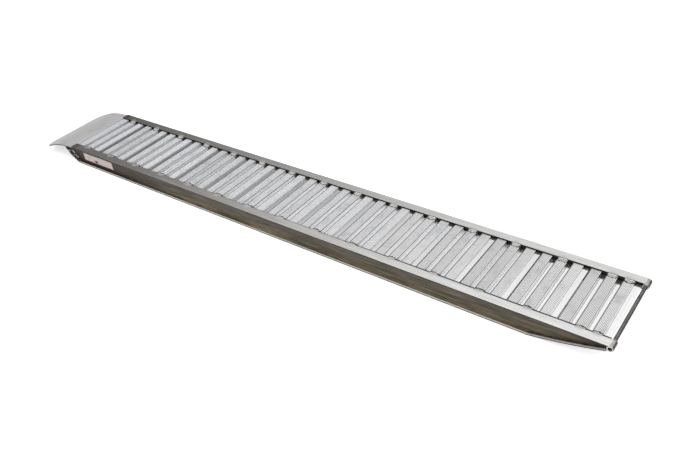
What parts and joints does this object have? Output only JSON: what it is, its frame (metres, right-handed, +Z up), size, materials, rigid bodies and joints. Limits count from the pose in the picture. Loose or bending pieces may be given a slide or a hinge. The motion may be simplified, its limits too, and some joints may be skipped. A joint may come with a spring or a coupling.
{
  "type": "loading ramp",
  "caption": "Straight welded aluminium loading ramp with side rails, a ribbed plank deck, a bent-down lip for the vehicle and a tapered ground end with a round cross bar.",
  "frame": {"origin": "on the ground under the middle of the ramp's bounding box, with the ramp lying level on its side rails", "axes": "+X from the vehicle end to the ground end, +Y across the deck, +Z up"},
  "size_m": [3.4546, 0.427, 0.1],
  "materials": {
    "side_rail": "mill finish, satin",
    "deck_plank": "mill finish, finely ribbed",
    "lip": "satin rolled sheet",
    "support_angle": "mill finish",
    "end_strip": "mill finish, satin",
    "ferrule": "turned, satin",
    "round_bar": "drawn bar, satin",
    "label": "blank printed-film plate"
  },
  "bodies": {
    "root": {"near_side_rail": "side_rail", "far_side_rail": "side_rail", "deck_plank_01": "deck_plank", "deck_plank_02": "deck_plank", "deck_plank_03": "deck_plank", "deck_plank_04": "deck_plank", "deck_plank_05": "deck_plank", "deck_plank_06": "deck_plank", "deck_plank_07": "deck_plank", "deck_plank_08": "deck_plank", "deck_plank_09": "deck_plank", "deck_plank_10": "deck_plank", "deck_plank_11": "deck_plank", "deck_plank_12": "deck_plank", "deck_plank_13": "deck_plank", "deck_plank_14": "deck_plank", "deck_plank_15": "deck_plank", "lip_plate": "lip", "lip_support_angle": "support_angle", "near_nose_strip": "end_strip", "far_nose_strip": "end_strip", "near_taper_strip": "end_strip", "far_taper_strip": "end_strip", "near_bar_ferrule": "ferrule", "far_bar_ferrule": "ferrule", "ground_end_bar": "round_bar", "blank_label": "label"}
  },
  "joints": []
}
